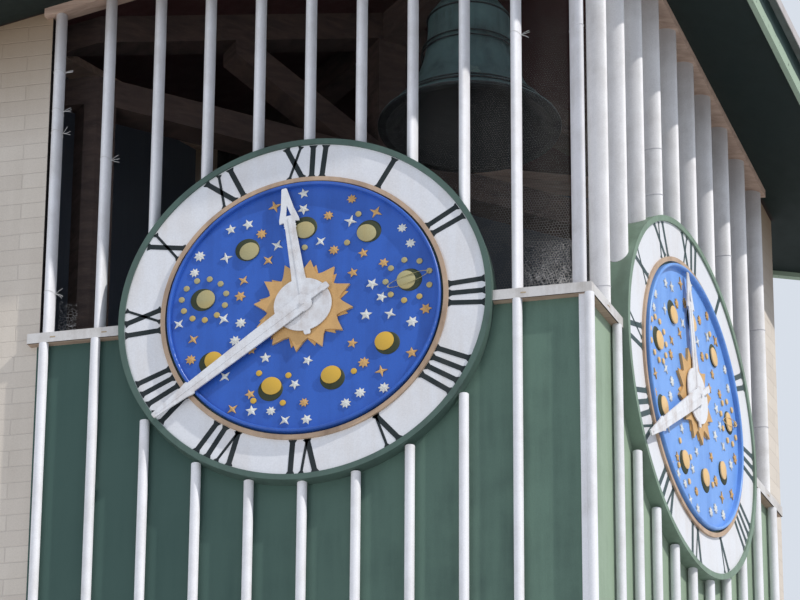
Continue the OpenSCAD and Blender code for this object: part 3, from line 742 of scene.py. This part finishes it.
NODE_PAINT = {
    "cream brick": ["front_wall", "right_wall", "left_wall", "back_wall_left", "back_wall_right",
                    "back_wall_over_door", "left_pier", "far_pier", "right_pier"],
    "white paint": ["front_tubes", "right_tubes", "front_fins", "right_fins", "corner_post",
                    "roof_edge"],
    "rail paint": ["stage_sill", "front_rail", "right_rail", "rear_sills"],
    "front panel green": ["front_panel"],
    # The right panel's paler green is painted sunlight.
    "side panel green with painted sunlight": ["right_panel"],
    "board green": ["rear_boards"],
    "door green": ["door", "door_frame"],
    "soffit green": ["left_slope", "right_slope"],
    "fascia green": ["fascia"],
    "roof sheet": ["roof_covering"],
    "weathered plate": ["front_plate", "right_plate", "rear_plates"],
    "dark timber": ["ridge_beam", "roof_truss", "belfry_floor"],
    "bell bronze": ["bell"],
    "dark iron": ["bell_hanger"],
    "drum green": ["front_case"],
    "side drum green": ["right_case"],
    "dial white": ["front_numeral_ring", "right_numeral_ring"],
    "gilt tan": ["front_gilt_ring", "right_gilt_ring"],
    "dial blue": ["front_star_disc"],
    "paler dial blue": ["right_star_disc"],
    "sun gold": ["front_sun", "right_sun"],
    "hand white": ["front_hour_hand", "front_minute_hand", "right_hour_hand", "right_minute_hand"],
}


def make_paints():
    sheets = [
        brickwork(), rail_paint(), panel_paint(), soffit_paint(), fascia_paint(), board_paint(),
        fin_paint("white paint", (0.79, 0.79, 0.82)),
        # Brighter copy of the white paint for the right fins: painted sunlight.
        fin_paint("white paint with painted sunlight", (0.845, 0.835, 0.845)),
        timber("weathered plate", "plate_wood", (0.62, 0.455, 0.36), (0.36, 0.24, 0.185),
               (3, 30, 30)),
        timber("dark timber", "dark_wood", (0.065, 0.038, 0.030), (0.024, 0.014, 0.012),
               (8, 8, 30)),
        planet_paint(), bell_paint(), netting_material(), folds_material(),
    ]
    sheets += [painted(*row) for row in PAINTED] + [chipped(*row) for row in CHIPPED]
    for sheet in sheets:
        PAINT[sheet.material.name] = sheet.material


# Sizes that a user would change

def length(name, about, value):
    return bpy.props.FloatProperty(name=name, description=about, default=value, unit="LENGTH")


class DialSettings(bpy.types.PropertyGroup):
    numeral_low: length("Numeral foot", "Radius of the feet of the numerals", 0.685)
    numeral_high: length("Numeral head", "Radius of the heads of the numerals", 0.857)
    stroke: length("Stroke", "Width of a thick stroke", 0.025)
    star_count: bpy.props.IntProperty(
        name="Stars", description="Number of stars on a dial", default=56, min=0)
    planet_size: length("Planet", "Radius of a planet", 0.057)


class BelfrySettings(bpy.types.PropertyGroup):
    net_gap: length("Netting set back", "Distance of the netting behind the fins", 0.094)


# Pieces of the dials

def stroke_blank(length, width, flare):
    """A flat stroke, foot at the origin, running up +Y, with flared ends."""
    end, taper = 0.0025, 0.012
    deselect()
    bpy.ops.mesh.primitive_plane_add(size=1)
    obj = bpy.context.object
    obj.scale = (width + flare, end, 1)
    obj.location = (0, end / 2, 0)
    settle(obj)
    top = end
    for step, scale in ((taper, width / (width + flare)), (length - 2 * (end + taper), 1.0),
                        (taper, (width + flare) / width), (end, 1.0)):
        pick(obj, lambda co, y=top: co.y > y - 1e-5)
        bpy.ops.mesh.extrude_region_move(TRANSFORM_OT_translate={"value": (0, step, 0)})
        top += step
        bpy.ops.transform.resize(value=(scale, 1, 1))
        done()
    thicken(obj, 0.0015)
    return obj


def numerals(side):
    """Twelve numerals with their feet towards the centre."""
    values = bpy.context.scene.clock_dials
    low, high = values.numeral_low, values.numeral_high
    rise, middle = high - low, (low + high) / 2
    thick = stroke_blank(rise, values.stroke, 0.014)
    thin = stroke_blank(rise, values.stroke * 0.5, 0.016)
    lean = math.atan2(LETTER_WIDTH, rise)
    letters = {"I": [(thick, 0.0, 0.0)],
               "V": [(thick, 0.0, lean / 2), (thin, 0.0, -lean / 2)],
               "X": [(thick, 0.032, lean), (thin, -0.032, -lean)]}
    strokes = []
    for hour, word in enumerate(HOURS):
        x = -sum(ADVANCE[letter] for letter in word) / 2
        for letter in word:
            clock = hour * 30 + math.degrees((x + ADVANCE[letter] / 2) / middle)
            place = on_dial(side, RING_FACE - 0.0002, clock, low)
            for blank, foot, turn in letters[letter]:
                local = (Matrix.Translation((foot, 0, 0)) @ Matrix.Rotation(turn, 4, "Z")
                         @ Matrix.Diagonal((1, 1 / math.cos(turn), 1, 1)))
                strokes.append(copied(blank, place @ local))
            x += ADVANCE[letter]
    drop(thick, thin)
    obj = joined(strokes)
    face_out(obj)
    ready(obj, side + "_numerals", PAINT[NUMERAL_PAINT[side]])


def star_blank(points, outer, valley, height, turn=0.0):
    """A faceted star lying in XY."""
    deselect()
    bpy.ops.mesh.primitive_circle_add(vertices=2 * points, radius=outer, fill_type="TRIFAN",
                                      rotation=(0, 0, turn))
    obj = settle(bpy.context.object)
    step = math.pi / points

    def is_valley(co):
        if co.xy.length < outer * 0.5:
            return False
        return round((math.atan2(co.y, co.x) - turn - math.pi / 2) / step) % 2 == 1

    pick(obj, is_valley)
    bpy.ops.transform.resize(value=(valley / outer, valley / outer, 1), center_override=(0, 0, 0))
    done()
    thicken(obj, height * 0.6)
    pick(obj, lambda co: co.xy.length < 1e-4 and co.z > height * 0.3)
    bpy.ops.transform.translate(value=(0, 0, height * 0.4))
    done()
    face_out(obj)
    return obj


def sky_layout():
    """Planets every 40 degrees on an oval round the sun, with moons, and stars between by rule."""
    worlds = [(40.0 * k, 0.453 + 0.05 * math.cos(math.radians(80.0 * k - 150))) for k in range(9)]
    moons = []
    taken = []
    for k, (angle, radius) in enumerate(worlds):
        spot = clock_point(math.radians(angle), radius)
        count, reach = MOONS.get(k, (0, 0))
        taken.append((spot, CROWDED_ROOM if count > 4 else PLANET_ROOM))
        for m in range(count):
            way = math.radians(angle + 180 + 360.0 * m / max(count, 4) + 25 * k)
            at = spot + clock_point(way, reach)
            moons.append(at)
            taken.append((at, MOON_ROOM))
    rule = random.Random(11)
    sky = []
    tries = 0
    while len(sky) < bpy.context.scene.clock_dials.star_count and tries < 6000:
        tries += 1
        way = rule.uniform(0, math.tau)
        at = clock_point(way, math.sqrt(rule.uniform(*(edge ** 2 for edge in SKY_EDGES))))
        if all((at - spot).length > room for spot, room in taken):
            sky.append((at, rule.choice([4, 5, 6, 8, 6, 5, 4, 8]), rule.random() < GOLD_SHARE,
                        rule.uniform(0.9, 1.12), rule.uniform(0, math.tau)))
            taken.append((at, STAR_ROOM))
    return worlds, moons, sky


def stars(side):
    """The small stars of the disc, white and gold."""
    blanks = {points: star_blank(points, *radii, 0.009) for points, radii in STARS.items()}
    made = {"white": [], "gold": []}
    for at, points, gold, size, turn in sky_layout()[2]:
        local = (Matrix.Translation((*at, 0)) @ Matrix.Rotation(turn, 4, "Z")
                 @ Matrix.Diagonal((size, size, 1, 1)))
        star = copied(blanks[points], on_dial(side, DISC_FACE - 0.0005) @ local)
        made["gold" if gold else "white"].append(star)
    drop(*blanks.values())
    for name, pieces in made.items():
        ready(joined(pieces), side + "_" + name + "_stars", PAINT["star " + name])


def planets(side):
    """Planets, each a gold face turned to the sun on a dark ball, with their moons and one ring."""
    size = bpy.context.scene.clock_dials.planet_size
    flatness, face_lift, moon_lift, ring_lift = 0.16, 0.0085, 0.0035, 0.0125
    worlds, moon_spots, _ = sky_layout()
    deselect()
    bpy.ops.mesh.primitive_uv_sphere_add(segments=32, ring_count=16, radius=size)
    ball = bpy.context.object
    pick(ball)
    bpy.ops.mesh.bisect(plane_co=(0, 0, 0), plane_no=(0, 0, 1), clear_inner=True, use_fill=True)
    done()
    ball.scale = (1, 1, flatness)
    settle(ball)
    face = disc(size * 0.9, 0.007, 0.0015, 32)
    moon = disc(0.0145, 0.008, 0.002, 16)
    ring = hoop(0.100, 0.0035, Matrix.Diagonal((1, 0.20, 0.6, 1)), 64, 6)

    behind = Matrix.Translation((0, size * 0.12, 0)) @ Matrix.Diagonal((1.04, 1.04, 1, 1))
    lean = (Matrix.Translation((0, -size * 0.16, face_lift))
            @ Matrix.Rotation(math.radians(-2), 4, "X") @ Matrix.Diagonal((0.93, 0.86, 1, 1)))
    places = [on_dial(side, DISC_FACE - 0.0003, *world) for world in worlds]
    balls = [copied(ball, place @ behind) for place in places]
    faces = [copied(face, place @ lean) for place in places]
    disc_top = on_dial(side, DISC_FACE + moon_lift)
    moons = [copied(moon, disc_top @ Matrix.Translation((*at, 0))) for at in moon_spots]
    tilt = Matrix.Rotation(math.radians(98), 4, "Z")
    moons.append(copied(ring, on_dial(side, DISC_FACE + ring_lift, *worlds[RINGED]) @ tilt))
    drop(ball, face, moon, ring)
    for name, pieces, paint in (("_planet_balls", balls, "planet shade"),
                                ("_planet_faces", faces, PLANET_PAINT[side]),
                                ("_moons", moons, PLANET_PAINT[side])):
        ready(joined(pieces), side + name, PAINT[paint], smooth=40)


def sun_rays(side):
    """The smaller rays that look out between the rays of the sun."""
    rays = star_blank(12, 0.219, 0.150, 0.006, math.radians(15))
    ready(settle(rays, on_dial(side, DISC_FACE)), side + "_small_rays", PAINT["star gold"])


# Pieces of the belfry and the bell

def net_sheet(side, gap, along, amount, cuts, rise=None):
    """A wavy sheet of netting, from the rail up by its rise or else up to the roof."""
    deselect()
    bpy.ops.mesh.primitive_grid_add(x_subdivisions=cuts[0], y_subdivisions=cuts[1], size=1)
    obj = bpy.context.object
    rule = random.Random(5)
    waves = [(rule.uniform(3, 14), rule.uniform(3, 14), rule.uniform(0, 6.3)) for _ in range(7)]
    for v in obj.data.vertices:
        t = along[0] + (v.co.x + 0.5) * (along[1] - along[0])
        p, q = (t, gap) if side == "front" else (gap, t)
        top = RAIL_Z + rise if rise else roof_under(p, q) - NET_ROOM
        z = RAIL_Z + (v.co.y + 0.5) * (top - RAIL_Z)
        push = sum(math.sin(a * t * 3 + b * z * 3 + c) for a, b, c in waves) * amount
        v.co = on_wall(side, t, -gap - NET_BEHIND - abs(push), z).translation
    return obj


def netting(gap):
    """Wire netting stretched behind the fins, with loose folds at its feet."""
    for side, ends in NET_ENDS.items():
        sheet = net_sheet(side, gap, ends, 0.0028, (120, 90))
        ready(sheet, side + "_netting", PAINT["wire netting"])
    folds = [
        net_sheet("front", gap + 0.02, (0.10, 0.36), 0.010, (50, 40), 0.44),
        net_sheet("front", gap + 0.045, (0.09, 0.33), 0.014, (50, 40), 0.40),
        net_sheet("front", gap + 0.02, (2.48, 2.57), 0.008, (30, 30), 0.24),
    ]
    ready(joined(folds), "netting_folds", PAINT["netting folds"])


def under_plates(obj):
    """Trims a piece where it meets the underside of the raked wall plates."""
    for way in (1, -1):
        pick(obj)
        bpy.ops.mesh.bisect(plane_co=CORNER + UP * PLATE_FOOT,
                            plane_no=OFF_RIDGE * ROOF_FALL * way + UP,
                            clear_outer=True, use_fill=True)
        done()
    return obj


def oval_tube(place):
    """An upright oval tube, thin across X and deep along Y, from its place up to the roof."""
    deselect()
    height = RIDGE_Z - RAIL_Z
    bpy.ops.mesh.primitive_cylinder_add(
        vertices=48, radius=1, depth=height, location=(0, 0, height / 2))
    obj = bpy.context.object
    obj.scale = (*OVAL, 1)
    return settle(settle(obj), place)


def post_place(rise):
    """The oval post in the corner, with its edge turned out between the two faces."""
    turn = Matrix.Rotation((math.pi / 2 - SKEW) / 2, 4, "Z")
    return on_wall("front", *POST_AXIS, RAIL_Z + rise) @ turn


def oval_fins(side):
    """The oval fins of a face, fitted over the drum, in place of the plainer solids."""
    obj = joined([oval_tube(on_fin(side, k)) for k in range(FINS)])
    drum = rod(DRUM_R, on_dial(side, -0.4).translation, on_dial(side, 0.3).translation, 180)
    modify(obj, "BOOLEAN", object=drum, operation="DIFFERENCE", solver="EXACT")
    drop(drum)
    under_plates(obj)
    ready(obj, side + "_oval_fins", PAINT[FIN_PAINT[side]], smooth=30)
    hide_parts(side + "_fins")


def corner_tube():
    obj = under_plates(oval_tube(post_place(0.0)))
    ready(obj, "corner_oval_post", PAINT["white post paint"], smooth=30)
    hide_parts("corner_post")


def oval_ring(thickness, slack=0.0005):
    """A ring that fits round an oval tube."""
    share = (OVAL[0] + slack) / (OVAL[1] + slack)
    return hoop(OVAL[1] + slack, thickness, Matrix.Diagonal((share, 1, 1, 1)), 40, 6)


def collars():
    """Rings where the lengths of the fins and of the corner post are joined."""
    ring = oval_ring(0.0026)
    pieces = [copied(ring, on_fin("right", k, rise)) for k, rise in (
        (3, 1.21), (3, 0.955), (7, 1.105), (9, 0.92), (9, 0.37), (0, 0.095))]
    pieces.append(copied(ring, post_place(1.38)))
    drop(ring)
    ready(joined(pieces), "fin_collars", PAINT["white post paint"], smooth=40)


def bell_mouldings():
    """Raised bands round the bell."""
    share = BELL_ALONG / RIDGE_LEN
    centre = CORNER + Vector((-FRONT_LEN * share, 0, 0)) + SIDE_DIR * (SIDE_LEN * share)
    bands = [hoop(radius, thickness, Matrix.Translation(centre + UP * (BELL_LIP_Z + rise)), 96, 8)
             for rise, radius, thickness in BELL_BANDS]
    ready(joined(bands), "bell_bands", PAINT["bell bronze"], smooth=50)


def ties():
    """Wire twisted round the last fins, with loose ends, where the netting is held."""
    ring = oval_ring(0.0014, 0.0012)
    pieces = []
    rule = random.Random(3)
    for k, rise in ((9, 1.43), (9, 1.215), (9, 1.095), (9, 0.225), (8, 0.92), (0, 1.38)):
        tilt = Matrix.Rotation(rule.uniform(-0.12, 0.12), 4, "Y")
        place = on_fin("front", k, rise)
        pieces.append(copied(ring, place @ tilt))
        for _ in range(3):
            spot = Vector((0.0262, -0.006, 0))
            bend = rule.uniform(-0.5, 0.8)
            curl = rule.uniform(-0.25, 0.15)
            for _ in range(4):
                bend += curl
                way = Vector((math.cos(bend), rule.uniform(-0.3, 0.1), math.sin(bend)))
                ahead = spot + way * 0.011
                pieces.append(settle(rod(0.001, spot, ahead, 5), place))
                spot = ahead
    drop(ring)
    ready(joined(pieces), "wire_ties", PAINT["tie wire"], smooth=60)


def rail_slots():
    """Worn bolt slots on the face of the rails, one beside each fin that is clear of the drum."""
    beside, face, under, clear = 0.036, 0.017, 0.026, 0.95
    deselect()
    bpy.ops.mesh.primitive_cube_add(size=1, location=(0, 0.0004, 0))
    bpy.context.object.scale = (0.026, 0.0032, 0.007)
    slot = soften(settle(bpy.context.object), 0.0012)
    spots = [(side, fin_along(side, k) - beside) for side in DIALS for k in range(FINS)]
    pieces = [copied(slot, on_wall(side, along, face, RAIL_Z - under)) for side, along in spots
              if abs(along - DIAL_ALONG[side]) > clear]
    drop(slot)
    ready(joined(pieces), "rail_slots", PAINT["worn slot"])


# Floor, light and camera

def ground():
    deselect()
    bpy.ops.mesh.primitive_plane_add(size=240, location=(0, 0, -0.002))
    floor = bpy.context.object
    floor.name = "floor"
    sheet = Sheet("pale floor")
    specks = noise(sheet.tree, 40.0)
    sheet.wire(mix(sheet.tree, specks, (0.55, 0.55, 0.54, 1), (0.6, 0.6, 0.59, 1)), "Base Color")
    sheet.shader.inputs["Roughness"].default_value = 0.9
    floor.data.materials.append(sheet.material)


def sky_light():
    """A world that looks paler than the light it gives."""
    world = bpy.data.worlds.new("studio")
    bpy.context.scene.world = world
    world.use_nodes = True
    tree = world.node_tree
    rays = add_node(tree, "LightPath").outputs
    mirrored = maths(tree, "MAXIMUM", rays["Is Camera Ray"], rays["Is Glossy Ray"])
    seen = maths(tree, "MAXIMUM", mirrored, rays["Is Transmission Ray"])
    back = tree.nodes["Background"]
    feed(tree, back.inputs["Color"], mix(tree, seen, (0.50, 0.56, 0.68, 1), (0.80, 0.86, 0.95, 1)))
    back.inputs["Strength"].default_value = 0.86


def placed(name, data):
    obj = bpy.data.objects.new(name, data)
    bpy.context.scene.collection.objects.link(obj)
    return obj


def lamp(name, kind, place, aim, energy, size, colour=(1, 1, 1)):
    data = bpy.data.lights.new(name, kind)
    data.energy = energy
    data.color = colour
    setattr(data, "size" if kind == "AREA" else "angle", size)
    obj = placed(name, data)
    obj.location = place
    obj.rotation_euler = (Vector(aim) - Vector(place)).to_track_quat("-Z", "Y").to_euler()


def camera():
    data = bpy.data.cameras.new("view")
    data.sensor_width = SENSOR
    data.lens = FOCAL / PHOTO_WIDTH * SENSOR
    data.clip_end = 500
    data.dof.use_dof = False
    view = placed("view", data)
    turn = (Matrix.Rotation(VIEW_TURN, 4, "Z") @ Matrix.Rotation(math.pi / 2 + VIEW_TILT, 4, "X")
            @ Matrix.Rotation(VIEW_ROLL, 4, "Z"))
    eye = CORNER + Vector((EYE_RIGHT, -EYE_BACK, RAIL_Z - EYE_DROP))
    view.matrix_world = Matrix.Translation(eye) @ turn
    bpy.context.scene.camera = view
    bpy.context.scene.view_settings.view_transform = "Standard"


# Operators and panel

class CLOCK_OT_paint_frame(bpy.types.Operator):
    """Gives every solid of the frame its finish"""
    bl_idname = "clock.paint_frame"
    bl_label = "Paint the frame"

    def execute(self, context):
        for make in NODE_GROUPS:
            make()
        make_paints()
        for paint, names in NODE_PAINT.items():
            for name in names:
                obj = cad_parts[name]
                obj.data.materials.clear()
                obj.data.materials.append(PAINT[paint])
        return {"FINISHED"}


class CLOCK_OT_dials(bpy.types.Operator):
    """Adds the numerals, stars, planets and small rays of both dials"""
    bl_idname = "clock.dials"
    bl_label = "Dress the dials"

    def execute(self, context):
        for side in DIALS:
            numerals(side)
            stars(side)
            planets(side)
            sun_rays(side)
        return {"FINISHED"}


class CLOCK_OT_belfry(bpy.types.Operator):
    """Adds the oval fins and post, the netting and the trim of the belfry"""
    bl_idname = "clock.belfry"
    bl_label = "Dress the belfry"

    def execute(self, context):
        for side in DIALS:
            oval_fins(side)
        corner_tube()
        netting(context.scene.clock_belfry.net_gap)
        collars()
        bell_mouldings()
        ties()
        rail_slots()
        return {"FINISHED"}


class CLOCK_OT_stage(bpy.types.Operator):
    """Adds the floor, the lights and the camera"""
    bl_idname = "clock.stage"
    bl_label = "Set the stage"

    def execute(self, context):
        ground()
        sky_light()
        lamp("key sun", "SUN", (20, -5.5, 22.5), (0, 0, 1), 3.15, math.radians(0.8),
             (1, 0.97, 0.92))
        lamp("soft fill", "AREA", (-9, -20, 6), (0, 0, 12.5), 950, 9)
        camera()
        return {"FINISHED"}


class CLOCK_PT_panel(bpy.types.Panel):
    """Lists the steps that dress the clock tower"""
    bl_idname = "CLOCK_PT_panel"
    bl_label = "Clock Tower"
    bl_space_type = "VIEW_3D"
    bl_region_type = "UI"
    bl_category = "Clock Tower"

    def draw(self, context):
        for step in STEPS:
            self.layout.operator(step.bl_idname)
        for group in (context.scene.clock_dials, context.scene.clock_belfry):
            for name in group.__annotations__:
                self.layout.prop(group, name)


STEPS = (CLOCK_OT_paint_frame, CLOCK_OT_dials, CLOCK_OT_belfry, CLOCK_OT_stage)
CLASSES = (DialSettings, BelfrySettings) + STEPS + (CLOCK_PT_panel,)


def register():
    for item in CLASSES:
        bpy.utils.register_class(item)
    bpy.types.Scene.clock_dials = bpy.props.PointerProperty(type=DialSettings)
    bpy.types.Scene.clock_belfry = bpy.props.PointerProperty(type=BelfrySettings)


def unregister():
    del bpy.types.Scene.clock_belfry
    del bpy.types.Scene.clock_dials
    for item in reversed(CLASSES):
        bpy.utils.unregister_class(item)


def main():
    register()
    bpy.ops.clock.paint_frame()
    bpy.ops.clock.dials()
    bpy.ops.clock.belfry()
    bpy.ops.clock.stage()


if __name__ == "__main__":
    main()
